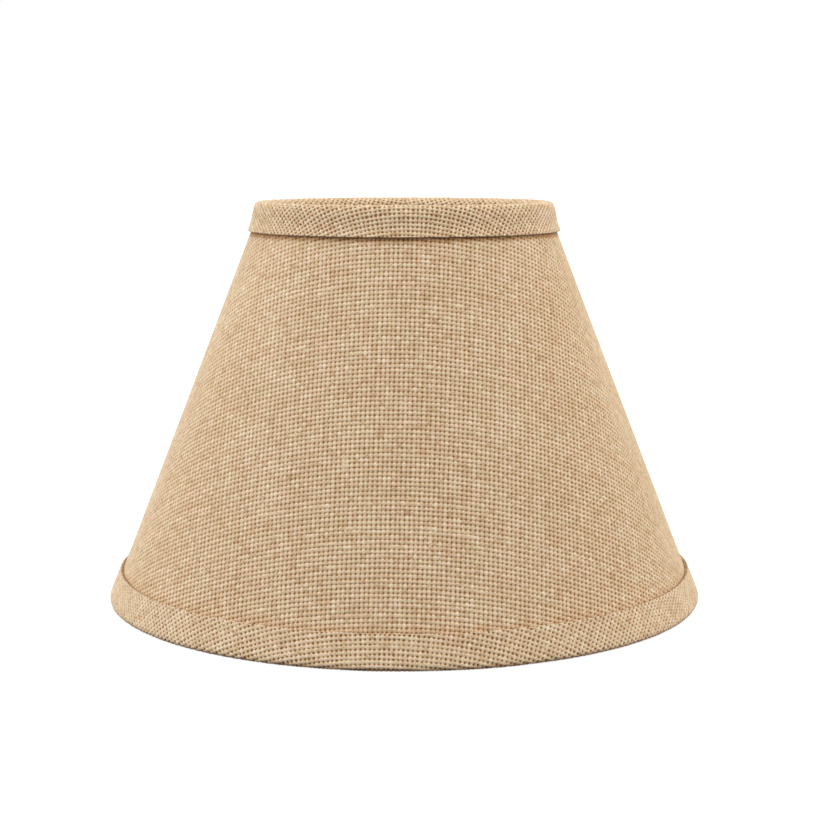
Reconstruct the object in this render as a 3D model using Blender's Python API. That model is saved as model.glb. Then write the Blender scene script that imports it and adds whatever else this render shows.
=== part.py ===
"""Burlap empire lamp shade: a laminated cone on two wire rings, with a washer fitter.

The shade stands on its bottom rim at z = 0, with its axis on +Z and its lap seam at +Y.
The wall is a straight line, in section, between the centres of the two wire rings. Every
sheet of the wall is laid out from that line: n is the distance along the wall's outward
normal, and s is the distance along the wall from a ring towards the middle of the shade.
Run it with: blender --background --python part.py
"""

import math

import bmesh
import bpy
from mathutils import Matrix, Vector

# Driving dimensions, in metres.
HEIGHT = 0.169
BOTTOM_DIAMETER = 0.254
TOP_RING_DIAMETER = 0.12  # on the wire's centre line
WIRE_RADIUS = 0.0013
CLOTH_THICKNESS = 0.0008
LINER_THICKNESS = 0.0004
TRIM_THICKNESS = 0.0016  # the band is folded double
TOP_TRIM_HEIGHT = 0.0127
BOTTOM_TRIM_HEIGHT = 0.0138
TRIM_INNER_LEG = 0.0095
LAP_WIDTH = 0.010
LAP_THICKNESS = 0.0006
FITTER_DROP = 0.0127  # from the top rim to the washer's upper face
WASHER_DIAMETER = 0.0254
WASHER_HOLE = 0.0111
WASHER_THICKNESS = 0.0015

GAP = 0.0003  # between pieces that touch
SEGMENTS = 72
SEAM_AZIMUTH = math.radians(90)

# The section of the wall.
FOLD_RADIUS = WIRE_RADIUS + GAP + TRIM_THICKNESS
REST_FLAT = 0.0002  # how far the bottom fold is pressed flat where the shade stands
BOTTOM_RING = Vector((BOTTOM_DIAMETER / 2 - FOLD_RADIUS, FOLD_RADIUS - REST_FLAT))
TOP_RING = Vector((TOP_RING_DIAMETER / 2, HEIGHT - FOLD_RADIUS))
UP_WALL = (TOP_RING - BOTTOM_RING).normalized()
OUTWARD = Vector((UP_WALL.y, -UP_WALL.x))

COVER_OUTSIDE = 0.0006
COVER_INSIDE = COVER_OUTSIDE - CLOTH_THICKNESS
LINER_OUTSIDE = COVER_INSIDE - GAP
LINER_INSIDE = LINER_OUTSIDE - LINER_THICKNESS
EDGE_TO_RING = WIRE_RADIUS + GAP  # where the laminate stops, short of the ring's centre
TRIM_OUTSIDE = COVER_OUTSIDE + GAP + TRIM_THICKNESS
TRIM_INSIDE = LINER_INSIDE - GAP - TRIM_THICKNESS
TRIM_EDGE_ROUNDING = TRIM_THICKNESS * 0.3
SLIT_DEPTH = 0.0125  # down the top band's inner leg, from the ring
SLIT_MARGIN = 0.0013  # past the band's inner face

WIRE_SIDES = 8
ARM_BEND_AT = 0.036
ARM_BEND_RADIUS = 0.012
ARM_AZIMUTHS = {
    "back": math.radians(90),
    "left": math.radians(210),
    "right": math.radians(330),
}
BEAD_INSIDE = WIRE_RADIUS + GAP
BEAD_OUTSIDE = BEAD_INSIDE + 0.0006
BEAD_EDGE = 0.0003
BEAD_LENGTH = 0.0014


def clear_scene():
    for old in list(bpy.data.objects):
        bpy.data.objects.remove(old, do_unlink=True)


def material(name, colour, roughness, metallic=0.0):
    made = bpy.data.materials.new(name)
    made.use_nodes = True
    shader = made.node_tree.nodes["Principled BSDF"]
    shader.inputs["Base Color"].default_value = (*colour, 1.0)
    shader.inputs["Roughness"].default_value = roughness
    shader.inputs["Metallic"].default_value = metallic
    made.diffuse_color = (*colour, 1.0)
    return made


def finish_mesh(name, work, made_of, parent=None):
    """Turns a bmesh into a named, smooth-shaded object whose faces point outwards."""
    bmesh.ops.recalc_face_normals(work, faces=work.faces)
    mesh = bpy.data.meshes.new(name)
    work.to_mesh(mesh)
    work.free()
    mesh.shade_smooth()
    mesh.set_sharp_from_angle(angle=math.radians(35))
    mesh.materials.append(made_of)
    made = bpy.data.objects.new(name, mesh)
    made.parent = parent
    bpy.context.collection.objects.link(made)
    return made


def revolve(outline, segments=SEGMENTS):
    """A closed ring: an outline of (radius, height) points turned about the Z axis."""
    work = bmesh.new()
    corners = [work.verts.new((0.0, -r, z)) for r, z in outline]
    edges = [work.edges.new(pair) for pair in zip(corners, corners[1:] + corners[:1])]
    bmesh.ops.spin(
        work,
        geom=corners + edges,
        cent=(0, 0, 0),
        axis=(0, 0, 1),
        angle=math.tau,
        steps=segments,
        use_merge=True,
    )
    bmesh.ops.remove_doubles(work, verts=work.verts, dist=1e-6)
    return work


def from_ring(ring, inward, n, s):
    """The point n outside the wall's line and s from a ring's centre, along the wall."""
    return ring + OUTWARD * n + inward * s


def arc(centre, radius, start, end, steps):
    """Points on an arc in the section's plane, with its angles in radians."""
    turns = [start + (end - start) * i / steps for i in range(steps + 1)]
    return [centre + Vector((math.cos(a), math.sin(a))) * radius for a in turns]


def wall_sheet(outside, inside):
    """The outline of one sheet of the wall, from just above one ring to just below the other."""
    return [
        from_ring(BOTTOM_RING, UP_WALL, outside, EDGE_TO_RING),
        from_ring(TOP_RING, -UP_WALL, outside, EDGE_TO_RING),
        from_ring(TOP_RING, -UP_WALL, inside, EDGE_TO_RING),
        from_ring(BOTTOM_RING, UP_WALL, inside, EDGE_TO_RING),
    ]


def outer_leg(ring, inward, free_edge):
    """How far a band's outer leg runs from the ring to end at the height free_edge."""
    return (free_edge - ring.y - OUTWARD.y * TRIM_OUTSIDE) / inward.y


def trim_outline(ring, inward, free_edge):
    """The section of a folded band: down the outside, round the ring and up the inside.

    free_edge is the height of the band's outer edge, and inward points along the wall
    from the ring towards the middle of the shade.
    """
    leg = outer_leg(ring, inward, free_edge)
    outside_angle = math.atan2(OUTWARD.y, OUTWARD.x)
    inside_angle = outside_angle + (math.pi if inward.y < 0 else -math.pi)
    outline = [
        from_ring(ring, inward, COVER_OUTSIDE + GAP, leg),
        from_ring(ring, inward, TRIM_OUTSIDE - TRIM_EDGE_ROUNDING, leg),
        from_ring(ring, inward, TRIM_OUTSIDE, leg - TRIM_EDGE_ROUNDING),
    ]
    if inward.y < 0:
        outline += arc(ring, FOLD_RADIUS, outside_angle, inside_angle, 10)
    else:
        flat = math.acos((FOLD_RADIUS - REST_FLAT) / FOLD_RADIUS)
        outline += arc(ring, FOLD_RADIUS, outside_angle, flat - math.pi / 2, 4)
        outline += arc(ring, FOLD_RADIUS, -flat - math.pi / 2, inside_angle, 4)
    outline += [
        from_ring(ring, inward, TRIM_INSIDE, TRIM_INNER_LEG - TRIM_EDGE_ROUNDING),
        from_ring(ring, inward, TRIM_INSIDE + TRIM_EDGE_ROUNDING, TRIM_INNER_LEG),
        from_ring(ring, inward, LINER_INSIDE - GAP, TRIM_INNER_LEG),
    ]
    outline += arc(ring, FOLD_RADIUS - TRIM_THICKNESS, inside_angle, outside_angle, 6)
    return outline


def cutter(name, work, target):
    """A hidden object that is cut out of the target."""
    tool = finish_mesh(name, work, target.data.materials[0])
    tool.hide_render = True
    tool.display_type = "WIRE"
    cut = target.modifiers.new("cut " + name, "BOOLEAN")
    cut.operation = "DIFFERENCE"
    cut.solver = "EXACT"
    cut.object = tool


def seam_lap():
    """The raised strip of the cover's lap, as wide at the top as at the bottom."""
    low = from_ring(BOTTOM_RING, UP_WALL, 0, outer_leg(BOTTOM_RING, UP_WALL, BOTTOM_TRIM_HEIGHT) + GAP)
    high_leg = outer_leg(TOP_RING, -UP_WALL, HEIGHT - TOP_TRIM_HEIGHT) + GAP
    high = from_ring(TOP_RING, -UP_WALL, 0, high_leg)
    buried = COVER_OUTSIDE - CLOTH_THICKNESS / 2
    proud = COVER_OUTSIDE + LAP_THICKNESS
    columns = 4
    work = bmesh.new()
    rows = []
    for place, n in ((low, buried), (low, proud), (high, proud), (high, buried)):
        point = place + OUTWARD * n
        row = []
        for i in range(columns + 1):
            across = LAP_WIDTH * (i / columns - 0.5)
            turn = SEAM_AZIMUTH + across / point.x
            row.append(work.verts.new((point.x * math.cos(turn), point.x * math.sin(turn), point.y)))
        rows.append(row)
    for near, far in zip(rows, rows[1:] + rows[:1]):
        for i in range(columns):
            work.faces.new((near[i], near[i + 1], far[i + 1], far[i]))
    work.faces.new([row[0] for row in rows])
    work.faces.new([row[-1] for row in rows])
    return work


def build_cover(burlap):
    cover = finish_mesh("burlap_cover", revolve(wall_sheet(COVER_OUTSIDE, COVER_INSIDE)), burlap)
    lap = finish_mesh("lap_shape", seam_lap(), burlap)
    lap.hide_render = True
    lap.display_type = "WIRE"
    join = cover.modifiers.new("lap", "BOOLEAN")
    join.operation = "UNION"
    join.solver = "EXACT"
    join.object = lap
    return cover


def arm_slit(azimuth):
    """The cut that lets one arm through the top band: from above the arm to below the inner leg."""
    half_width = BEAD_OUTSIDE + GAP
    out = arm_direction()
    above = Vector((-out.y, out.x)) * half_width
    near = TOP_RING - out * (FOLD_RADIUS + SLIT_MARGIN)
    far = TOP_RING - out * GAP
    below = Vector((0, -SLIT_DEPTH))
    work = bmesh.new()
    corners = [
        work.verts.new((place.x, across, place.y))
        for place in (near + above, far + above, far + below, near + below)
        for across in (-half_width, half_width)
    ]
    bmesh.ops.convex_hull(work, input=corners)
    bmesh.ops.rotate(work, verts=work.verts, matrix=Matrix.Rotation(azimuth, 3, "Z"))
    return work


def build_trims(burlap):
    """The two bands. The top one is slit from its inner edge to let each arm through."""
    finish_mesh("bottom_trim", revolve(trim_outline(BOTTOM_RING, UP_WALL, BOTTOM_TRIM_HEIGHT)), burlap)
    outline = trim_outline(TOP_RING, -UP_WALL, HEIGHT - TOP_TRIM_HEIGHT)
    top = finish_mesh("top_trim", revolve(outline), burlap)
    for place, azimuth in ARM_AZIMUTHS.items():
        cutter("slit_" + place, arm_slit(azimuth), top)


def build_rings(steel):
    for name, centre in (("top_ring", TOP_RING), ("bottom_ring", BOTTOM_RING)):
        section = arc(centre, WIRE_RADIUS, 0, math.tau, WIRE_SIDES)[:-1]
        finish_mesh(name, revolve(section), steel)


def washer_middle():
    return HEIGHT - FITTER_DROP - WASHER_THICKNESS / 2


def arm_bend():
    return Vector((ARM_BEND_AT, washer_middle()))


def arm_direction():
    """The direction of an arm's outer run, aimed at the middle of the ring's wire."""
    return (TOP_RING - arm_bend()).normalized()


def arm_route():
    """Points along one arm: level from the washer's rim, round a bend and up to the ring."""
    rim = Vector((WASHER_DIAMETER / 2 + GAP, washer_middle()))
    out = arm_direction()
    turn = math.atan2(out.y, out.x)
    setback = ARM_BEND_RADIUS * math.tan(turn / 2)
    centre = arm_bend() + Vector((-setback, ARM_BEND_RADIUS))
    bend = arc(centre, ARM_BEND_RADIUS, -math.pi / 2, turn - math.pi / 2, 5)
    return [rim, *bend, TOP_RING - out * EDGE_TO_RING]


def arm_curve(steel):
    curve = bpy.data.curves.new("spider_arm", "CURVE")
    curve.dimensions = "3D"
    curve.bevel_depth = WIRE_RADIUS
    curve.bevel_resolution = 2
    curve.use_fill_caps = True
    curve.materials.append(steel)
    route = arm_route()
    spline = curve.splines.new("POLY")
    spline.points.add(len(route) - 1)
    for point, place in zip(spline.points, route):
        point.co = (place.x, 0.0, place.y, 1.0)
    return curve


def weld_bead(name, centre, along, steel):
    """A collar of weld metal round an arm that lies along +X: a low dome, turned about the wire."""
    steps = 10
    edge = BEAD_INSIDE + BEAD_EDGE
    dome = [(0.0, BEAD_INSIDE), (0.0, edge), (0.35, BEAD_OUTSIDE),
            (0.65, BEAD_OUTSIDE), (1.0, edge), (1.0, BEAD_INSIDE)]
    upward = Vector((-along.y, along.x))
    work = bmesh.new()
    loops = []
    for i in range(steps):
        angle = math.tau * i / steps
        loop = []
        for share, radius in dome:
            flat = centre + along * (share * BEAD_LENGTH) + upward * (radius * math.cos(angle))
            loop.append(work.verts.new((flat.x, radius * math.sin(angle), flat.y)))
        loops.append(loop)
    for near, far in zip(loops, loops[1:] + loops[:1]):
        for i in range(len(dome)):
            j = (i + 1) % len(dome)
            work.faces.new((near[i], near[j], far[j], far[i]))
    return finish_mesh(name, work, steel)


def build_spider_arms(steel, parent):
    """Each arm with its two welds, made along +X and turned to its azimuth."""
    out = arm_direction()
    ring_end = TOP_RING - out * (EDGE_TO_RING + GAP / 2)
    washer_end = Vector((WASHER_DIAMETER / 2 + 2 * GAP, washer_middle()))
    ring_weld = weld_bead("ring_weld", ring_end, -out, steel)
    washer_weld = weld_bead("washer_weld", washer_end, Vector((1, 0)), steel)
    shapes = {"spider_arm": arm_curve(steel), "ring_weld": ring_weld.data, "washer_weld": washer_weld.data}
    for made in (ring_weld, washer_weld):
        bpy.data.objects.remove(made)
    for place, azimuth in ARM_AZIMUTHS.items():
        for piece, shape in shapes.items():
            made = bpy.data.objects.new(f"{piece}_{place}", shape)
            made.rotation_euler.z = azimuth
            made.parent = parent
            bpy.context.collection.objects.link(made)


def build_washer(steel, parent):
    inner = WASHER_HOLE / 2
    outer = WASHER_DIAMETER / 2
    half = WASHER_THICKNESS / 2
    eased = 0.00025
    outline = [(inner, -half), (outer - eased, -half), (outer, -half + eased),
               (outer, half - eased), (outer - eased, half), (inner, half)]
    washer = finish_mesh("spider_washer", revolve(outline, 36), steel, parent)
    washer.location.z = washer_middle()


def main():
    clear_scene()
    burlap = material("natural_burlap", (0.55, 0.40, 0.26), 0.9)
    styrene = material("white_styrene", (0.85, 0.83, 0.78), 0.45)
    steel = material("plated_wire", (0.72, 0.68, 0.60), 0.35, 1.0)

    build_cover(burlap)
    build_trims(burlap)
    finish_mesh("styrene_liner", revolve(wall_sheet(LINER_OUTSIDE, LINER_INSIDE)), styrene)
    build_rings(steel)

    spider = bpy.data.objects.new("spider", None)
    bpy.context.collection.objects.link(spider)
    build_spider_arms(steel, spider)
    build_washer(steel, spider)


main()
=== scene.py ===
import math

import bpy
import numpy as np
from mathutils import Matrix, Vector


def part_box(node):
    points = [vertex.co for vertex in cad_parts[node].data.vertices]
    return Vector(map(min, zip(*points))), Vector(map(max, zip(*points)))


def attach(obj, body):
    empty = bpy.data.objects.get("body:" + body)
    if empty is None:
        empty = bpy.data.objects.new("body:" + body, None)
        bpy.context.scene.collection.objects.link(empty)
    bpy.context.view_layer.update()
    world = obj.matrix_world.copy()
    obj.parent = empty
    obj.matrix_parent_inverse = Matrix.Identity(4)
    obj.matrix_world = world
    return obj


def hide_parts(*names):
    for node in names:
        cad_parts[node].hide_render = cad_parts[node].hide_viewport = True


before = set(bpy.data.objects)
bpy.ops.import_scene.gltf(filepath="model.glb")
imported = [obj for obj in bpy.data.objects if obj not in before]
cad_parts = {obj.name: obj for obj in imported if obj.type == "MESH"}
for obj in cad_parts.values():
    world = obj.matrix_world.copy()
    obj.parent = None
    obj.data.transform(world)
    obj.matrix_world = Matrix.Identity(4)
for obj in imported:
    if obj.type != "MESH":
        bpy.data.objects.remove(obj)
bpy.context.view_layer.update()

MM = 0.001

# ---------------------------------------------------------------------------------------
# The shade's section, worked out from the two wire rings and the other CAD nodes.
# A section point is (radius, height). n is the distance outside the wall's line, and s is
# the distance along the wall from a ring towards the middle of the shade.


def ring_section(node):
    low, high = (np.array(corner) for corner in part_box(node))
    wire = (high[2] - low[2]) / 2
    return np.array([high[0] - wire, (low[2] + high[2]) / 2]), wire


TOP_RING, WIRE_RADIUS = ring_section("top_ring")
BOTTOM_RING, _ = ring_section("bottom_ring")
UP_WALL = (TOP_RING - BOTTOM_RING) / np.linalg.norm(TOP_RING - BOTTOM_RING)
OUTWARD = np.array([UP_WALL[1], -UP_WALL[0]])
SLANT_SIN, SLANT_COS = -UP_WALL[0], UP_WALL[1]

COVER_MIDDLE = 0.75 * MM       # n of the woven cloth's middle
LINER_OUTSIDE = -0.5 * MM      # n of the liner's two faces
LINER_INSIDE = -0.9 * MM
LAP = 10.0 * MM                # how far the ends of the cover and of the liner overlap

# A band's section: a squarish fold over the ring, a waist near it and a free edge folded under.
FOLD_DEPTH = 2.9 * MM          # how far inside the wall's line the fold starts
FOLD_POWER = 3.2               # of the fold's outer corner: 2 would be round, and more is squarer
WAIST_AT = 7.5 * MM            # s of the waist
EDGE = 2.3 * MM                # n of the band's face at its free edge
EDGE_RADIUS = 0.55 * MM
INNER_FACE = 2.5 * MM          # how far inside the wall's line the inner leg lies
INNER_LEG = 9.5 * MM
TOP_BAND = 12.9 * MM           # how tall each band is
BOTTOM_BAND = 14.1 * MM

# The cloth. Warp threads run up and down the front of the shade, and weft across it.
WARP_PITCH = 1.79 * MM
WEFT_PITCH = 1.84 * MM
CRIMP = 0.19 * MM              # how far a thread rises and falls about the cloth's middle
THREAD_HEIGHT = 0.20 * MM      # half its thickness
HOLE_DEPTH = 0.24 * MM         # from the cloth's middle down to the backing between threads
GRAIN_AZIMUTH = math.radians(-4)
WEFT_BOW = 0.45                # the weft's steepest slope, far from the bow's centre
WEFT_BOW_CENTRE = 6 * MM
WEFT_BOW_REACH = (170 * MM, 200 * MM)  # how soon that slope is nearly reached, left and right
SLACK = (0.32, 0.12)           # how much wider the warp is spread, left and right of the front
SLACK_MIDDLE = 0.36            # where, as an angle in the flat panel
SLACK_SPAN = 0.12
BAND_SPACING = 0.30 * MM       # between the points of a band's mesh


def on_section(ring, inward, n, s):
    return ring + np.multiply.outer(n, OUTWARD) + np.multiply.outer(s, inward)


def turned(section, azimuth):
    """World points for section points at an azimuth, 0 at the front and growing to the right."""
    radius, height = section[..., 0], section[..., 1]
    return np.stack([radius * np.sin(azimuth), -radius * np.cos(azimuth), height + 0 * azimuth], -1)


# ---------------------------------------------------------------------------------------
# Smooth seeded noise.


def smooth_step(x):
    x = np.clip(x, 0, 1)
    return x * x * (3 - 2 * x)


class Waves:
    """A smooth random curve for each of many threads: sums of sines along the thread."""

    def __init__(self, rng, threads, size, shortest, longest, count=4):
        self.size = size
        self.rate = math.tau / rng.uniform(shortest, longest, (count, threads))
        self.phase = rng.uniform(0, math.tau, (count, threads))
        self.share = rng.uniform(0.5, 1.0, (count, threads)) / math.sqrt(count / 2)

    def at(self, thread, along):
        total = 0.0
        for rate, phase, share in zip(self.rate, self.phase, self.share):
            total = total + share[thread] * np.sin(rate[thread] * along + phase[thread])
        return self.size * total


class Threads:
    """One set of parallel threads: where each one's middle lies, its width and its tone."""

    def __init__(self, rng, pitch, crossing_pitch, width, pinch, count=512):
        self.pitch, self.crossing_pitch = pitch, crossing_pitch
        self.half = count // 2
        self.shift = rng.normal(0, 0.035, count).clip(-0.09, 0.09) * pitch
        self.wander = Waves(rng, count, 0.045 * pitch, 9 * MM, 45 * MM)
        self.width = width + rng.normal(0, 0.022, count).clip(-0.05, 0.04)
        self.pinch = pinch
        self.side_pinch = 0.0      # added away from the front of the shade
        self.swell = Waves(rng, count, 0.020, 4 * MM, 22 * MM)
        self.slub = Waves(rng, count, 1.0, 14 * MM, 60 * MM, 3)
        self.colour = rng.normal(0, 0.28, count)
        self.fade = Waves(rng, count, 0.35, 5 * MM, 40 * MM)

    def index(self, thread):
        return np.clip(thread + self.half, 0, 2 * self.half - 1)

    def middle(self, thread, along):
        i = self.index(thread)
        return thread * self.pitch + self.shift[i] + self.wander.at(i, along)

    def half_width(self, thread, along):
        """Wide where it crosses another thread, and pinched in between."""
        i = self.index(thread)
        fat = np.maximum(self.slub.at(i, along) - 1.1, 0) * 0.08
        pinch = self.pinch + self.side_pinch * smooth_step((np.abs(along) - 35 * MM) / (50 * MM))
        bead = pinch * np.cos(math.tau * along / self.crossing_pitch)
        return np.clip(self.width[i] + self.swell.at(i, along) + fat + bead, 0.22, 0.495) * self.pitch

    def tone(self, thread, along):
        i = self.index(thread)
        return self.colour[i] + self.fade.at(i, along)

    def nearest(self, across, along):
        """The thread over each point, and how far across it the point is, in half widths."""
        first = np.floor(across / self.pitch + 0.5).astype(int)
        offset = across - self.middle(first, along)
        second = first + np.where(offset >= 0, 1, -1)
        reach = np.abs(offset) / self.half_width(first, along)
        other = across - self.middle(second, along)
        reach_other = np.abs(other) / self.half_width(second, along)
        swap = reach_other < reach
        return (
            np.where(swap, second, first),
            np.where(swap, other, offset),
            np.where(swap, reach_other, reach),
        )


class Weave:
    """A plain weave in cloth coordinates: u across the warp threads and v across the weft."""

    def __init__(self, seed, warp_pitch=WARP_PITCH, weft_pitch=WEFT_PITCH, fullness=0.42):
        rng = np.random.default_rng(seed)
        self.warp = Threads(rng, warp_pitch, weft_pitch, fullness - 0.02, 0.085)
        self.weft = Threads(rng, weft_pitch, warp_pitch, fullness - 0.005, 0.07)
        self.cells = rng.normal(0, 1, (3, 256, 256))

    def surface(self, u, v):
        """Height above the cloth's middle, then over, tone and tint, as the material reads them."""
        warp, weft = self.warp, self.weft
        i, off_u, reach_u = warp.nearest(u, v)
        j, off_v, reach_v = weft.nearest(v, u)
        tall, dark, warm = self.cells[:, i % 256, j % 256]
        warp_up = np.where((i + j) % 2 == 0, 1.0, -1.0)
        swing = CRIMP * (1 + 0.10 * tall)
        rise_warp = swing * np.cos(math.pi * np.clip(off_v / weft.pitch, -0.5, 0.5))
        rise_weft = swing * np.cos(math.pi * np.clip(off_u / warp.pitch, -0.5, 0.5))
        round_warp = THREAD_HEIGHT * np.sqrt(np.clip(1 - reach_u**2, 0, 1))
        round_weft = THREAD_HEIGHT * np.sqrt(np.clip(1 - reach_v**2, 0, 1))
        z_warp = np.where(reach_u < 1, warp_up * rise_warp + round_warp, -1)
        z_weft = np.where(reach_v < 1, -warp_up * rise_weft + round_weft, -1)
        height = np.maximum(np.maximum(z_warp, z_weft), -HOLE_DEPTH)
        over = (z_warp >= z_weft).astype(float)
        tone = np.where(over > 0.5, warp.tone(i, v), weft.tone(j, u)) + 0.8 * dark
        return height, over, tone, warm


def depth_of(height):
    """0 at the backing between threads, and 1 at a thread's crown."""
    return (height + HOLE_DEPTH) / (HOLE_DEPTH + CRIMP + THREAD_HEIGHT)


def thread_lines(threads, first, last, along):
    """Lines that follow the threads: for each one its left gap, shoulder, crown and shoulder."""
    shoulder = 0.80
    lines = []
    for thread in range(first, last + 1):
        middle = threads.middle(thread, along)
        half = threads.half_width(thread, along)
        before = threads.middle(thread - 1, along) + threads.half_width(thread - 1, along)
        lines += [(before + middle - half) / 2, middle - shoulder * half, middle, middle + shoulder * half]
    return np.array(lines)


# ---------------------------------------------------------------------------------------
# Meshes from arrays.


def grid_quads(rows, columns, closed=False, flip=False):
    index = np.arange(rows * columns).reshape(rows, columns)
    if closed:
        index = np.concatenate([index, index[:, :1]], 1)
    corners = [index[:-1, :-1], index[:-1, 1:], index[1:, 1:], index[1:, :-1]]
    if flip:
        corners = corners[::-1]
    return np.stack(corners, -1).reshape(-1, 4)


def make_mesh(name, points, quads, material, values={}, corner_maps={}):
    """An object from points and four-cornered faces. values are per point, corner_maps per corner."""
    points = points.reshape(-1, 3)
    mesh = bpy.data.meshes.new(name)
    mesh.vertices.add(len(points))
    mesh.vertices.foreach_set("co", np.ascontiguousarray(points, np.float32).ravel())
    mesh.loops.add(quads.size)
    mesh.loops.foreach_set("vertex_index", np.ascontiguousarray(quads, np.int32).ravel())
    mesh.polygons.add(len(quads))
    mesh.polygons.foreach_set("loop_start", np.arange(0, quads.size, 4, dtype=np.int32))
    for map_name, coordinates in corner_maps.items():
        layer = mesh.uv_layers.new(name=map_name)
        layer.uv.foreach_set("vector", np.ascontiguousarray(coordinates, np.float32).ravel())
    mesh.update(calc_edges=True)
    for value_name, numbers in values.items():
        attribute = mesh.attributes.new(value_name, "FLOAT", "POINT")
        attribute.data.foreach_set("value", np.ascontiguousarray(numbers, np.float32).ravel())
    mesh.shade_smooth()
    mesh.materials.append(material)
    return add_piece(bpy.data.objects.new(name, mesh))


def add_piece(piece):
    bpy.context.collection.objects.link(piece)
    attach(piece, "root")
    return piece


def chart(around, across, columns, rows):
    """A bake layout: the ring of cloth cut into equal lengths, packed in columns and rows.

    around and across hold a share from 0 to 1 for each corner of each face."""
    margin = 0.02
    count = columns * rows
    around = around * count
    chunk = np.clip(np.floor(around.mean(1)), 0, count - 1)[:, None]
    along = margin + (1 - 2 * margin) * (around - chunk)
    up = margin + (1 - 2 * margin) * across
    return np.stack([(chunk % columns + along) / columns, (chunk // columns + up) / rows], -1)


# ---------------------------------------------------------------------------------------
# Materials.


class Nodes:
    """A short way to write the nodes of a material or a world. owner is either one."""

    def __init__(self, owner, shader="Principled BSDF"):
        self.owner = owner
        owner.use_nodes = True
        self.tree = owner.node_tree
        self.shader = self.tree.nodes[shader]

    def add(self, kind, **settings):
        node = self.tree.nodes.new(kind)
        for key, value in settings.items():
            setattr(node, key, value)
        return node

    def link(self, source, target):
        self.tree.links.new(source, target)

    def put(self, value, socket):
        """Links the socket, or sets it: value is an output socket, a number or a colour."""
        if isinstance(value, bpy.types.NodeSocket):
            self.link(value, socket)
        else:
            socket.default_value = (*value, 1.0) if isinstance(value, tuple) and len(value) == 3 else value

    def feed(self, node, **values):
        """Puts values into a node's inputs, named in lower case with _ for a space."""
        for key, value in values.items():
            socket = next(s for s in node.inputs if s.name.lower().replace(" ", "_") == key and s.enabled)
            self.put(value, socket)

    def maths(self, operation, a, b=0.5, c=0.5, clamp=False):
        node = self.add("ShaderNodeMath", operation=operation, use_clamp=clamp)
        for socket, value in zip(node.inputs, (a, b, c)):
            self.put(value, socket)
        return node.outputs[0]

    def centred(self, value, size, middle=0.0, clamp=False):
        """A noise value from 0 to 1, stretched to size and centred on middle."""
        return self.maths("MULTIPLY_ADD", value, size, middle - size / 2, clamp)

    def total(self, *values, clamp=False):
        result = values[0]
        for value in values[1:]:
            result = self.maths("ADD", result, value, clamp=clamp and value is values[-1])
        return result

    def value_of(self, name):
        return self.add("ShaderNodeAttribute", attribute_name=name).outputs["Fac"]

    def noise(self, vector, scale, detail=2.0, roughness=0.5, dimensions="3D"):
        node = self.add("ShaderNodeTexNoise", noise_dimensions=dimensions)
        self.feed(node, vector=vector, scale=scale, detail=detail, roughness=roughness)
        return node.outputs["Fac"]

    def flat_noise(self, vector, size, detail=1.0, roughness=0.5, angle=0.0):
        """Noise in a plane, with size specks to a unit of length each way."""
        mapping = self.add("ShaderNodeMapping")
        mapping.inputs["Scale"].default_value = (*size, 1)
        mapping.inputs["Rotation"].default_value = (0, 0, angle)
        self.link(vector, mapping.inputs["Vector"])
        return self.noise(mapping.outputs[0], 1.0, detail, roughness, "2D")

    def ramp(self, factor, stops):
        node = self.add("ShaderNodeValToRGB")
        elements = node.color_ramp.elements
        while len(elements) < len(stops):
            elements.new(0.5)
        for element, (place, colour) in zip(elements, stops):
            element.position = place
            element.color = (*colour, 1.0)
        self.link(factor, node.inputs["Fac"])
        return node.outputs["Color"]

    def mix(self, factor, a, b, blend="MIX"):
        node = self.add("ShaderNodeMix", data_type="RGBA", blend_type=blend)
        for socket, value in zip((node.inputs[0], node.inputs[6], node.inputs[7]), (factor, a, b)):
            self.put(value, socket)
        return node.outputs[2]

    def choose(self, factor, a, b):
        node = self.add("ShaderNodeMix", data_type="FLOAT")
        for socket, value in zip((node.inputs[0], node.inputs[2], node.inputs[3]), (factor, a, b)):
            self.put(value, socket)
        return node.outputs[0]

    def bump(self, height, strength, distance):
        node = self.add("ShaderNodeBump")
        self.feed(node, strength=strength, distance=distance, height=height)
        self.link(node.outputs[0], self.shader.inputs["Normal"])


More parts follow.
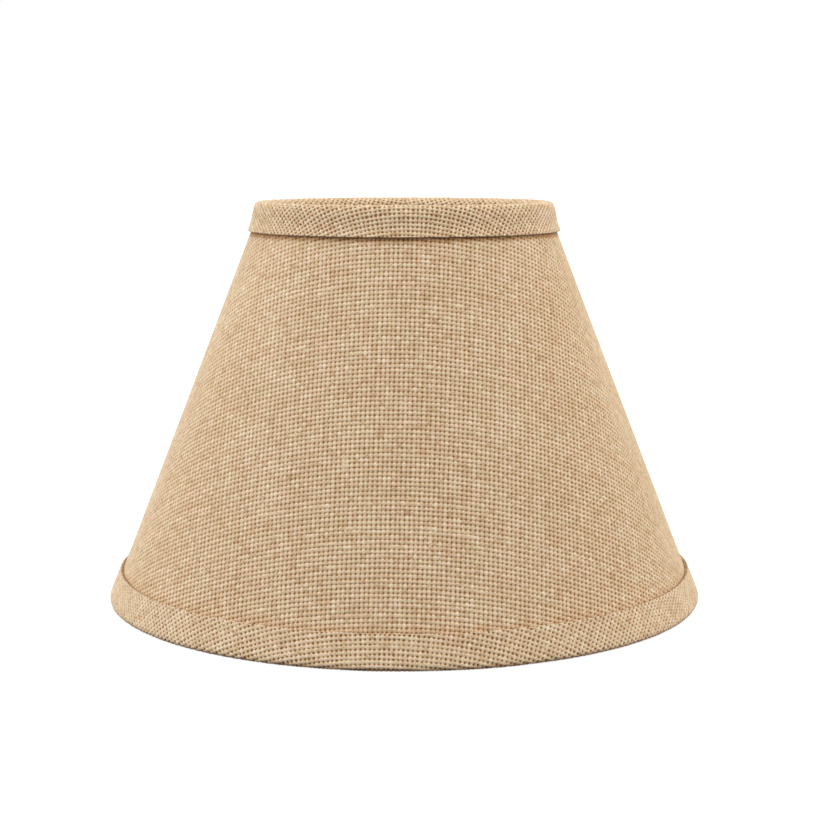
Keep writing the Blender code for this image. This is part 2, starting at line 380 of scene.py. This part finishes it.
def burlap_material(name):
    """Jute thread: twisted fibres along each thread, tone by thread, and painted shade that darkens and
    browns it towards the gaps.

    The "Cloth" map is in millimetres: across the warp, then across the weft."""
    m = Nodes(bpy.data.materials.new(name))
    cloth = m.add("ShaderNodeUVMap", uv_map="Cloth").outputs[0]
    over, depth, tone, tint = (m.value_of(value) for value in ("over", "depth", "tone", "tint"))

    twist = 0.30
    warp_streaks = m.flat_noise(cloth, (7.0, 0.9), 3.0, 0.6, twist)
    weft_streaks = m.flat_noise(cloth, (0.9, 7.0), 3.0, 0.6, twist)
    streaks = m.choose(over, weft_streaks, warp_streaks)
    patches = m.flat_noise(cloth, (0.05, 0.05), 2.0)
    flecks = m.flat_noise(cloth, (1.1, 1.4))
    fibres = m.flat_noise(cloth, (2.6, 2.6))

    lightness = m.total(
        m.maths("MULTIPLY_ADD", tone, 0.09, 0.56),
        m.centred(fibres, 0.8),
        m.centred(streaks, 0.7),
        m.centred(patches, 0.16),
        clamp=True,
    )
    jute = m.ramp(lightness, [
        (0.0, (0.38, 0.225, 0.115)),
        (0.35, (0.575, 0.40, 0.245)),
        (0.62, (0.715, 0.556, 0.392)),
        (1.0, (0.83, 0.73, 0.60)),
    ])
    warmth = m.total(m.maths("MULTIPLY_ADD", tint, 0.16, 0.5), m.centred(fibres, 1.6), clamp=True)
    hue = m.ramp(warmth, [
        (0.0, (1.0, 0.94, 0.94)),
        (0.5, (1.0, 1.0, 0.985)),
        (1.0, (0.95, 1.0, 0.88)),
    ])
    jute = m.mix(1.0, jute, hue, "MULTIPLY")
    husks = m.ramp(flecks, [(0.27, (1, 1, 1)), (0.31, (0, 0, 0))])
    husk_brown = (0.30, 0.17, 0.08)
    jute = m.mix(m.maths("MULTIPLY", husks, 0.55), jute, husk_brown)
    # Painted shade: the colour darkens and browns with depth, down the threads' shoulders and into the gaps
    # between them.
    shade = m.ramp(depth, [
        (0.0, (0.38, 0.245, 0.13)),
        (0.32, (0.60, 0.44, 0.285)),
        (0.56, (0.90, 0.815, 0.70)),
        (0.74, (1.0, 1.0, 1.0)),
    ])
    jute = m.mix(1.0, jute, shade, "MULTIPLY")
    # Painted shade: this colour is multiplied in where the bands shade the cover, under a band's free edge
    # and where a band stands on the table.
    painted_shadow_colour = (0.74, 0.58, 0.42)
    jute = m.mix(m.value_of("painted_shade"), jute, painted_shadow_colour, "MULTIPLY")
    m.link(jute, m.shader.inputs["Base Color"])
    m.link(m.maths("MULTIPLY_ADD", streaks, -0.25, 1.0), m.shader.inputs["Roughness"])
    m.bump(streaks, 0.6, 0.12 * MM)
    m.feed(m.shader, sheen_weight=0.15, sheen_roughness=0.45, sheen_tint=(1.0, 0.92, 0.82),
           specular_ior_level=0.25)
    return m.owner


def styrene_material(name):
    """Milky plastic, a little cloudy, with a fine tooth."""
    m = Nodes(bpy.data.materials.new(name))
    place = m.add("ShaderNodeTexCoord").outputs["Object"]
    cloudy = m.noise(place, 18.0, 3.0)
    fine = m.noise(place, 900.0, 2.0)
    white = m.ramp(cloudy, [(0.3, (0.80, 0.775, 0.72)), (0.7, (0.86, 0.84, 0.79))])
    m.link(white, m.shader.inputs["Base Color"])
    m.link(m.maths("MULTIPLY_ADD", fine, 0.2, 0.38), m.shader.inputs["Roughness"])
    m.bump(fine, 0.15, 0.05 * MM)
    m.feed(m.shader, ior=1.55)
    return m.owner


def metal_material(name, dark, light, rough, grain):
    """Plated steel: cloudy tarnish, fine drawn grain and an uneven shine."""
    m = Nodes(bpy.data.materials.new(name))
    place = m.add("ShaderNodeTexCoord").outputs["Object"]
    tarnish = m.noise(place, 220.0, 4.0, 0.6)
    marks = m.noise(place, grain, 2.0)
    m.link(m.ramp(tarnish, [(0.35, dark), (0.65, light)]), m.shader.inputs["Base Color"])
    m.link(m.maths("MULTIPLY_ADD", marks, 0.3, rough), m.shader.inputs["Roughness"])
    m.bump(marks, 0.2, 0.04 * MM)
    m.feed(m.shader, metallic=1.0)
    return m.owner


BURLAP = burlap_material("natural_burlap")
STYRENE = styrene_material("white_styrene")
WIRE = metal_material("zinc_wire", (0.42, 0.34, 0.23), (0.62, 0.52, 0.37), 0.26, 2500.0)
WELD = metal_material("weld_metal", (0.26, 0.20, 0.13), (0.46, 0.37, 0.25), 0.45, 1200.0)


# ---------------------------------------------------------------------------------------
# The cover: one panel of cloth, flat-cut as part of a ring, rolled into a cone and lapped.


def weft_droop(x):
    """How far the bowed weft hangs below a straight line, in the flat panel."""
    reach = np.where(x < WEFT_BOW_CENTRE, *WEFT_BOW_REACH)
    return WEFT_BOW * (np.sqrt((x - WEFT_BOW_CENTRE) ** 2 + reach**2) - reach)


def loosen_sides(weave):
    """Away from the front the threads are spread apart, so they are thinner and beadier."""
    warp = weave.warp
    away = np.abs(np.arange(len(warp.width)) - warp.half) * warp.pitch
    warp.width -= 0.07 * smooth_step((away - 40 * MM) / (45 * MM))
    weave.weft.side_pinch = 0.05


def spread_warp(angle):
    """Where a point of evenly woven cloth ends up, with the warp spread in two slack places."""
    slack = np.where(angle < 0, *SLACK)
    past = np.tanh((np.abs(angle) - SLACK_MIDDLE) / SLACK_SPAN) + math.tanh(SLACK_MIDDLE / SLACK_SPAN)
    return angle + np.sign(angle) * slack * SLACK_SPAN * past


def cone_distance(ring, inward, s):
    """A section point's distance from the cone's apex, along the slant of the cloth's middle."""
    return on_section(ring, inward, COVER_MIDDLE, s)[0] / SLANT_SIN


def cover_grid(weave, near, far):
    """Cloth coordinates of the points where lines along all the panel's threads cross."""
    spare = 6 * MM
    lowest = near * math.cos(math.pi * SLANT_SIN) - weft_droop(far) - spare
    warp_last = int(far / WARP_PITCH) + 2
    weft_first, weft_last = int(lowest / WEFT_PITCH) - 1, int(far / WEFT_PITCH) + 2
    u_line = np.arange(-warp_last, warp_last + 1, 0.25) * WARP_PITCH
    v_line = np.arange(weft_first, weft_last + 1, 0.25) * WEFT_PITCH
    u = thread_lines(weave.warp, -warp_last, warp_last, v_line).T
    v = thread_lines(weave.weft, weft_first, weft_last, u_line)
    return u[:, : v.shape[1]], v[:, : u.shape[1]]


def lapped(height, over_end):
    """The cloth's height where its outer end rides over the inner one, with its last edge tucked in."""
    ride, slope, tucked, sunk = 0.75 * MM, 9 * MM, 0.9 * MM, 0.1 * MM
    lift = ride * (1 - smooth_step((over_end - LAP) / slope))
    tuck = np.clip(1 - over_end / tucked, 0, 1)
    return lift + height - (lift + height + sunk) * tuck**2


def painted_shadow_by_bands(height):
    """Painted shadow on the cloth next to the bands' free edges, from 0 to 1: full just under the top
    band's overhang, and weaker above the bottom band.
    """
    below_top_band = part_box("top_trim")[1][2] - TOP_BAND - height
    above_bottom_band = height - BOTTOM_BAND
    return np.maximum(
        1 - smooth_step((below_top_band - 0.6 * MM) / (1.5 * MM)),
        0.3 * (1 - smooth_step((above_bottom_band - 0.3 * MM) / (1.2 * MM))),
    )


def build_cover():
    weave = Weave(11)
    loosen_sides(weave)
    hidden = 4.0 * MM        # how far short of each ring's middle the cloth stops, under the bands
    near = cone_distance(TOP_RING, -UP_WALL, hidden)
    far = cone_distance(BOTTOM_RING, UP_WALL, hidden)
    half_angle = math.pi * SLANT_SIN
    seam_left = -half_angle - GRAIN_AZIMUTH * SLANT_SIN
    seam_right = half_angle - GRAIN_AZIMUTH * SLANT_SIN

    u, v = cover_grid(weave, near, far)
    below_apex = v + weft_droop(u)
    rho = np.hypot(u, below_apex)
    psi = spread_warp(np.arctan2(u, below_apex))
    over_end = rho * (seam_right - psi) + LAP / 2              # distance from the panel's outer end
    under_end = rho * (psi - seam_left) + LAP / 2 - 4 * MM     # and from its hidden inner end
    inside = (rho > near) & (rho < far) & (over_end > -0.3 * WARP_PITCH) & (under_end > 0)
    quads = grid_quads(*u.shape, flip=True)
    quads = quads[inside.ravel()[quads].all(1)]
    used, quads = np.unique(quads, return_inverse=True)
    quads = quads.reshape(-1, 4)
    u, v, rho, psi, over_end = (a.ravel()[used] for a in (u, v, rho, psi, over_end))

    height, over, tone, tint = weave.surface(u, v)
    psi = psi + np.minimum(over_end, 0) / rho                  # trims the ragged end straight
    azimuth = psi / SLANT_SIN + GRAIN_AZIMUTH
    swell = 0.12 * MM * np.sin(3 * azimuth + 1.1) * np.sin(rho * 38) + 0.08 * MM * np.sin(7 * azimuth + 0.4)
    rise = lapped(height, np.maximum(over_end, 0)) + swell
    apex = TOP_RING[1] + OUTWARD[1] * COVER_MIDDLE + cone_distance(TOP_RING, UP_WALL, 0) * SLANT_COS
    section = np.stack([rho * SLANT_SIN, apex - rho * SLANT_COS], -1) + np.multiply.outer(rise, OUTWARD)

    around = (psi - seam_left) / (seam_right - seam_left)
    along = (rho - near) / (far - near)
    cover = make_mesh(
        "woven_cover", turned(section, azimuth), quads, BURLAP,
        values={"over": over, "depth": depth_of(height), "tone": tone, "tint": tint,
                # painted shadow next to the bands' free edges
                "painted_shade": painted_shadow_by_bands(section[:, 1])},
        corner_maps={"OFBake": chart(around[quads], along[quads], 2, 2),
                     "Cloth": np.stack([u, v], -1)[quads] / MM},
    )
    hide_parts("burlap_cover")


# ---------------------------------------------------------------------------------------
# The bands: cloth cut as a curved strip, turned under at both edges and folded over a ring.


def arc_points(centre, radius, start, end, spacing):
    steps = max(3, int(abs(end - start) * radius / spacing))
    turn = np.linspace(start, end, steps + 1)
    return centre + radius * np.stack([np.cos(turn), np.sin(turn)], -1)


def line_points(start, end, spacing):
    steps = max(1, int(np.linalg.norm(end - start) / spacing))
    return start + np.linspace(0, 1, steps + 1)[:, None] * (end - start)


def evenly(line, spacing):
    """The same polyline, with points an even distance apart."""
    travel = np.concatenate([[0], np.cumsum(np.linalg.norm(np.diff(line, axis=0), axis=1))])
    stations = np.linspace(0, travel[-1], int(travel[-1] / spacing) + 1)
    return np.stack([np.interp(stations, travel, line[:, axis]) for axis in (0, 1)], -1)


class Fold:
    """How a band goes over its ring: n of its face there and at its waist, how far past the ring's
    middle it goes, and how much further still for each bit outward, where it stands on the table."""

    def __init__(self, face, waist, rise, lean):
        self.face, self.waist, self.rise, self.lean = face, waist, rise, lean


def band_section(ring, inward, leg, fold, spacing):
    """Section points of a band's cloth, from under its free edge, round the ring, to its inner edge."""
    e = EDGE_RADIUS
    fine = spacing / 6
    side = 1 if inward[1] < 0 else -1
    outward_angle = math.atan2(OUTWARD[1], OUTWARD[0])
    inward_angle = outward_angle + side * math.pi
    s = np.arange(leg - e, 0, -fine)
    fall = (fold.face - fold.waist) * (1 - smooth_step(s / WAIST_AT))
    flare = (EDGE - fold.waist) * smooth_step((s - 0.4 * leg) / (0.6 * leg - e))
    turn = np.linspace(0, math.pi / 2, 200)
    corner_n = fold.face * np.cos(turn) ** (2 / FOLD_POWER)
    corner_s = -(fold.rise + fold.lean * corner_n) * np.sin(turn) ** (2 / FOLD_POWER)
    under = on_section(ring, inward, EDGE - 2 * e, leg - e)
    return evenly(np.concatenate([
        line_points(under - 1.5 * MM * inward, under, fine),
        arc_points(on_section(ring, inward, EDGE - e, leg - e), e, inward_angle, outward_angle, fine),
        on_section(ring, inward, fold.waist + fall + flare, s),
        on_section(ring, inward, corner_n, corner_s),
        on_section(ring, inward, -FOLD_DEPTH * np.sin(turn), -fold.rise * np.cos(turn)),
        line_points(on_section(ring, inward, -FOLD_DEPTH, 0),
                    on_section(ring, inward, -INNER_FACE, INNER_LEG - e), fine),
        arc_points(on_section(ring, inward, e - INNER_FACE, INNER_LEG - e), e, inward_angle,
                   inward_angle + side * math.pi, fine),
    ]), spacing)


def facing_out(profile, side):
    """The distance travelled at each point of a section, and the cloth's outward direction there."""
    steps = np.linalg.norm(np.diff(profile, axis=0), axis=1)
    travel = np.concatenate([[0], np.cumsum(steps)])
    tangent = np.gradient(profile, axis=0)
    tangent /= np.linalg.norm(tangent, axis=1)[:, None]
    return travel, np.stack([tangent[:, 1], -tangent[:, 0]], -1) * side


def handmade_waves(rng, azimuth, travel):
    """Waves round a band that was folded by hand, and smaller ones that lean across it."""
    waves = 0.0
    for count in (3, 5, 8, 13, 21, 34):
        share, phase = rng.uniform(0.4, 1), rng.uniform(0, math.tau)
        waves = waves + share * np.sin(count * azimuth + phase) / math.sqrt(count)
    ripples = 0.0
    for count in (17, 29, 43):
        share, slope, phase = rng.uniform(0.4, 1), rng.uniform(-1, 1), rng.uniform(0, math.tau)
        ripples = ripples + share * np.sin(count * azimuth + 500 * travel * slope + phase)
    return 0.06 * MM * waves + 0.03 * MM * ripples


def band_painted_shade(travel, height):
    """Painted shade: dark on the turned-under cloth and round the free edge's underside, and a painted
    contact shadow where the band stands on the table.
    """
    under_edge_shade = 1 - smooth_step((travel - 1.9 * MM) / (0.7 * MM))
    contact_shadow = 1.4 * (1 - smooth_step(height / (2.2 * MM)))
    return np.maximum(contact_shadow, under_edge_shade)


def build_band(name, node, ring, inward, free_edge, fold, turn_rate, straight_at, seed, cloth):
    """turn_rate is how far the cloth's grain turns for each turn round the shade, from straight_at."""
    weave = Weave(seed, *cloth)
    side = 1 if inward[1] < 0 else -1
    leg = (free_edge - ring[1] - OUTWARD[1] * EDGE) / inward[1] - 0.3 * (CRIMP + THREAD_HEIGHT)
    profile = band_section(ring, inward, leg, fold, BAND_SPACING)
    travel, normal = facing_out(profile, side)

    columns = int(math.tau * ring[0] / BAND_SPACING)
    azimuth = np.linspace(-math.pi, math.pi, columns, endpoint=False)
    middle = travel[len(travel) // 2] * 0.45
    distance = ring[0] / turn_rate + (middle - travel) * side
    turn = (azimuth - straight_at) * turn_rate
    u = distance[:, None] * np.sin(turn)
    v = distance[:, None] * np.cos(turn)
    height, over, tone, tint = weave.surface(u, v)

    travel_down = travel[:, None]
    open_cloth = smooth_step((travel_down - 1.6 * MM) / (2.0 * MM))
    waves = handmade_waves(np.random.default_rng(seed + 1), azimuth, travel_down)
    rise = height * open_cloth + waves
    section = profile[:, None, :] + rise[..., None] * normal[:, None, :]
    table = 0.02 * MM
    section[..., 1] = np.maximum(section[..., 1], table)

    quads = grid_quads(*height.shape, closed=True, flip=inward[1] > 0)
    around = quads % columns / columns
    closing = around.max(1) - around.min(1) > 0.5
    around = np.where(closing[:, None] & (around < 0.5), around + 1, around)
    across = np.repeat(travel / travel[-1], columns)[quads]
    band = make_mesh(
        name, turned(section, azimuth), quads, BURLAP,
        values={"over": over, "depth": depth_of(height), "tone": tone, "tint": tint,
                # painted shade under the free edge and painted contact shadow at the table
                "painted_shade": band_painted_shade(travel_down, section[..., 1])},
        corner_maps={"OFBake": chart(around, across, 1, 8),
                     "Cloth": np.stack([u.ravel(), v.ravel()], -1)[quads] / MM},
    )
    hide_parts(node)


# ---------------------------------------------------------------------------------------
# The liner, the fitter and its welds.


def build_liner():
    """A styrene sheet rolled into a cone, its ends lapped at the back."""
    columns = 480
    rows_each_side = 24
    edge = 1.8 * MM                # how far short of each ring's middle the sheet is cut
    lap_step = 0.35 * MM
    azimuth = np.linspace(-math.pi, math.pi, columns, endpoint=False)
    ends = [(BOTTOM_RING, UP_WALL), (TOP_RING, -UP_WALL)]
    rows = []
    for n, (first, last) in ((LINER_OUTSIDE, ends), (LINER_INSIDE, ends[::-1])):
        start = on_section(*first, n, edge)
        end = on_section(*last, n, edge)
        for share in np.linspace(0, 1, rows_each_side):
            place = start + share * (end - start)
            from_seam = (azimuth + math.pi) * place[0]
            lap = lap_step * (from_seam < LAP) if n == LINER_INSIDE else 0
            rows.append(place + np.multiply.outer(-lap + 0 * azimuth, OUTWARD))
    rows.append(rows[0])
    quads = grid_quads(len(rows), columns, closed=True)
    liner = make_mesh("fine_liner", turned(np.array(rows), azimuth), quads, STYRENE)
    liner.data.set_sharp_from_angle(angle=math.radians(40))
    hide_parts("styrene_liner")


def node_middle(node):
    low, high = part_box(node)
    return np.array([(a + b) / 2 for a, b in zip(low, high)])


ARM_BEND_AT = 36 * MM
ARM_BEND_RADIUS = 12 * MM


def build_arm(place, azimuth):
    """Wire from the washer's rim, level and then up to the ring, as the CAD arm runs."""
    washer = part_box("spider_washer")
    level = (washer[0][2] + washer[1][2]) / 2
    bend = np.array([ARM_BEND_AT, level])
    out = (TOP_RING - bend) / np.linalg.norm(TOP_RING - bend)
    turn = math.atan2(out[1], out[0])
    setback = ARM_BEND_RADIUS * math.tan(turn / 2)
    centre = bend + np.array([-setback, ARM_BEND_RADIUS])
    route = np.concatenate([
        line_points(np.array([washer[1][0] - 0.2 * MM, level]), centre - [0, ARM_BEND_RADIUS], 3 * MM),
        arc_points(centre, ARM_BEND_RADIUS, -math.pi / 2, turn - math.pi / 2, 0.5 * MM)[1:],
        line_points(bend + out * setback, TOP_RING - out * 1.3 * MM, 3 * MM)[1:],
    ])
    curve = bpy.data.curves.new("arm_" + place, "CURVE")
    curve.dimensions = "3D"
    curve.bevel_depth = WIRE_RADIUS
    curve.bevel_resolution = 6
    curve.use_fill_caps = True
    spline = curve.splines.new("POLY")
    spline.points.add(len(route) - 1)
    for point, (radius, height) in zip(spline.points, route):
        point.co = (radius * math.cos(azimuth), radius * math.sin(azimuth), height, 1.0)
    curve.materials.append(WIRE)
    arm = add_piece(bpy.data.objects.new("wire_arm_" + place, curve))
    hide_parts("spider_arm_" + place)


def build_weld(node, along, seed):
    """An uneven blob of weld metal round the end of an arm."""
    rng = np.random.default_rng(seed)
    rows, columns = 18, 28
    size = np.array([1.8, 1.8, 1.6]) * MM
    polar = np.linspace(0.02, math.pi - 0.02, rows)
    around = np.linspace(0, math.tau, columns, endpoint=False)
    p, a = np.meshgrid(polar, around, indexing="ij")
    ball = np.stack([np.sin(p) * np.cos(a), np.sin(p) * np.sin(a), np.cos(p)], -1)
    lobes = 0.10 * np.sin(3 * a + rng.uniform(0, 6)) * np.sin(2 * p)
    lumps = 0.07 * np.sin(5 * a + 4 * p + rng.uniform(0, 6))
    across, up, out = np.moveaxis(ball * size * (1 + lobes + lumps)[..., None], -1, 0)[..., None]
    sideways = np.cross((0, 0, 1), along)
    upright = np.cross(along, sideways)
    points = node_middle(node) + across * sideways + up * upright + out * np.array(along)
    quads = grid_quads(rows, columns, closed=True, flip=True)
    weld = make_mesh("blob_" + node, points, quads, WELD)
    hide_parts(node)


def build_washer():
    """A stamped washer with rolled edges."""
    low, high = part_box("spider_washer")
    outer = high[0]
    inner = 5.55 * MM
    ease = 0.35 * MM
    columns = 96
    top, bottom = high[2] - ease, low[2] + ease
    corners = [(outer - ease, top), (inner + ease, top), (inner + ease, bottom), (outer - ease, bottom)]
    section = np.concatenate([
        arc_points(np.array(centre), ease, quarter * math.pi / 2, (quarter + 1) * math.pi / 2, 0.1 * MM)
        for quarter, centre in enumerate(corners)
    ])
    section = np.concatenate([section, section[:1]])
    azimuth = np.linspace(-math.pi, math.pi, columns, endpoint=False)
    points = turned(section[:, None, :], azimuth)
    quads = grid_quads(len(section), columns, closed=True)
    washer = make_mesh("stamped_washer", points, quads, WIRE)
    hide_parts("spider_washer")


def build_fitter():
    for seed, (place, degrees) in enumerate((("back", 90), ("left", 210), ("right", 330))):
        azimuth = math.radians(degrees)
        build_arm(place, azimuth)
        along = (math.cos(azimuth), math.sin(azimuth), 0.0)
        build_weld("ring_weld_" + place, along, 40 + seed)
        build_weld("washer_weld_" + place, along, 50 + seed)
    build_washer()
    for node in ("top_ring", "bottom_ring"):
        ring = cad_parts[node]
        ring.data.materials.clear()
        ring.data.materials.append(WIRE)


# ---------------------------------------------------------------------------------------
# The stage.


CAMERA_PLACE = (0.0050, -0.7671, 0.1901)
CAMERA_DIP = 0.1466            # radians below level
CAMERA_LENS = 77.72
FRONT_DIMMING = 0.74           # how much darker the room is behind the camera,
OVERHEAD_DIMMING = 0.5         # and straight overhead
UNDER_LIGHT = 0.06             # the light that comes up from the floor
FLOOR_HALF = 60.0
PAPER_SHADOW_RADIUS = 121.8 * MM        # how far from the middle the paper's painted shadow reaches, under the shade,
PAPER_SHADOW_SOFTNESS = 3 * MM            # and how soon after that the paper glows white


def build_camera():
    camera = bpy.data.cameras.new("camera")
    camera.sensor_width = 36.0
    camera.lens = CAMERA_LENS
    made = bpy.data.objects.new("camera", camera)
    made.location = CAMERA_PLACE
    made.rotation_euler = (math.radians(90) - CAMERA_DIP, 0, 0)
    bpy.context.collection.objects.link(made)
    bpy.context.scene.camera = made


def build_light(name, place, size, power, colour=(1.0, 1.0, 1.0)):
    """A square area light that faces the middle of the shade."""
    lamp = bpy.data.lights.new(name, "AREA")
    lamp.shape = "RECTANGLE"
    lamp.size = lamp.size_y = size
    lamp.energy = power
    lamp.color = colour
    made = bpy.data.objects.new(name, lamp)
    made.location = place
    x, y, z = np.array((0, 0, 0.08)) - np.array(place)
    made.rotation_euler = (math.atan2(math.hypot(x, y), -z), 0, math.atan2(-x, y))
    made.visible_camera = False
    bpy.context.collection.objects.link(made)


def paper_material():
    """Paper with painted shade: unlit grey under the shade, then glowing nearly white, and white a little
    further off; the glow is a little weaker near the shade.
    """
    m = Nodes(bpy.data.materials.new("white_floor"))
    away = m.add("ShaderNodeVectorMath", operation="LENGTH")
    m.link(m.add("ShaderNodeTexCoord").outputs["Object"], away.inputs[0])
    distance = away.outputs["Value"]
    # Painted shadow: the paper glows only outside the disc under the shade, and its glow grows with
    # distance.
    outside_painted_shadow = m.maths("MULTIPLY_ADD", distance, 1 / PAPER_SHADOW_SOFTNESS, -PAPER_SHADOW_RADIUS / PAPER_SHADOW_SOFTNESS, clamp=True)
    painted_glow = m.maths("MINIMUM", m.maths("MULTIPLY_ADD", distance, 0.3, 0.70), 1.0)
    m.feed(m.shader, base_color=(0.4, 0.4, 0.4), roughness=0.9, specular_ior_level=0.0,
           emission_color=(1, 1, 1), emission_strength=m.maths("MULTIPLY", outside_painted_shadow, painted_glow))
    return m.owner


def build_floor():
    mesh = bpy.data.meshes.new("floor")
    corners = [(-1, -1, 0), (1, -1, 0), (1, 1, 0), (-1, 1, 0)]
    mesh.from_pydata([(x * FLOOR_HALF, y * FLOOR_HALF, z) for x, y, z in corners], [], [(0, 1, 2, 3)])
    mesh.materials.append(paper_material())
    floor = bpy.data.objects.new("floor", mesh)
    floor.visible_diffuse = False
    bpy.context.collection.objects.link(floor)


def build_world():
    """A white room that is dimmer in front, overhead and underneath, with an even white backdrop."""
    world = bpy.data.worlds.new("studio")
    m = Nodes(world, "Background")
    direction = m.add("ShaderNodeSeparateXYZ")
    m.link(m.add("ShaderNodeTexCoord").outputs["Generated"], direction.inputs[0])
    y, z = direction.outputs["Y"], direction.outputs["Z"]
    front = m.maths("MULTIPLY_ADD", y, FRONT_DIMMING, 1.0, clamp=True)
    above = m.maths("GREATER_THAN", z, -0.01)
    under = m.maths("MULTIPLY_ADD", above, 1 - UNDER_LIGHT, UNDER_LIGHT)
    overhead = m.maths("MULTIPLY_ADD", m.maths("MULTIPLY", z, z), -OVERHEAD_DIMMING, 1.0)
    light = m.maths("MULTIPLY", m.maths("MULTIPLY", front, under), overhead)
    backdrop = m.add("ShaderNodeLightPath").outputs["Is Camera Ray"]
    m.feed(m.shader, color=(1, 1, 1), strength=m.maths("MAXIMUM", light, backdrop))
    bpy.context.scene.world = world


def build_stage():
    build_camera()
    build_floor()
    build_world()
    build_light("top_light", (0.0, -0.75, 1.1), 1.0, 7.4)
    build_light("left_light", (-1.2, -0.25, 0.5), 1.8, 17.5)
    build_light("right_light", (1.2, -0.25, 0.5), 1.8, 15.5, (1.0, 0.965, 0.92))
    bpy.context.scene.view_settings.view_transform = "Standard"


build_stage()
build_cover()
build_band(
    "top_band", "top_trim", TOP_RING, -UP_WALL,
    free_edge=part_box("top_trim")[1][2] - TOP_BAND,
    fold=Fold(face=3.4 * MM, waist=2.4 * MM, rise=2.5 * MM, lean=0.0),
    turn_rate=0.94, straight_at=math.radians(1),
    seed=23, cloth=(1.60 * MM, 1.71 * MM, 0.345),
)
build_band(
    "bottom_band", "bottom_trim", BOTTOM_RING, UP_WALL,
    free_edge=BOTTOM_BAND,
    fold=Fold(face=2.4 * MM, waist=2.3 * MM, rise=2.9 * MM, lean=0.15),
    turn_rate=0.90, straight_at=math.radians(-3.5),
    seed=31, cloth=(WARP_PITCH, WEFT_PITCH, 0.385),
)
build_liner()
build_fitter()
